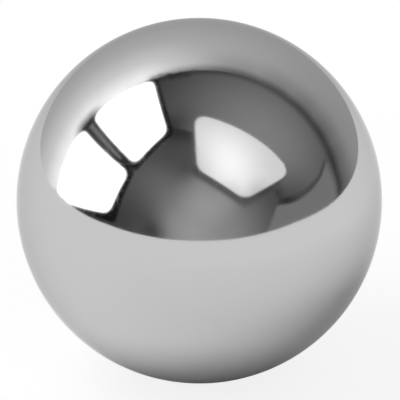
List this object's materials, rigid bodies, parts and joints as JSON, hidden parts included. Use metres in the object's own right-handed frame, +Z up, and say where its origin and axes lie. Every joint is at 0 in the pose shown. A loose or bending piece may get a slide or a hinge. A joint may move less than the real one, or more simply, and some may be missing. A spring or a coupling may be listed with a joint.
{
  "type": "steel ball",
  "caption": "Solid polished steel ball with a mirror finish, for bearings, detents, check valves and use as a small weight.",
  "frame": {"origin": "centre of the ball", "axes": "+Z up; the ball is the same about every axis through its centre, and its seat is towards -Z"},
  "size_m": [0.0254, 0.0254, 0.0254],
  "materials": {
    "polished_steel": "lapped and polished to a mirror, through-hardened chrome steel"
  },
  "bodies": {
    "root": {"steel_ball": "polished_steel"}
  },
  "joints": []
}
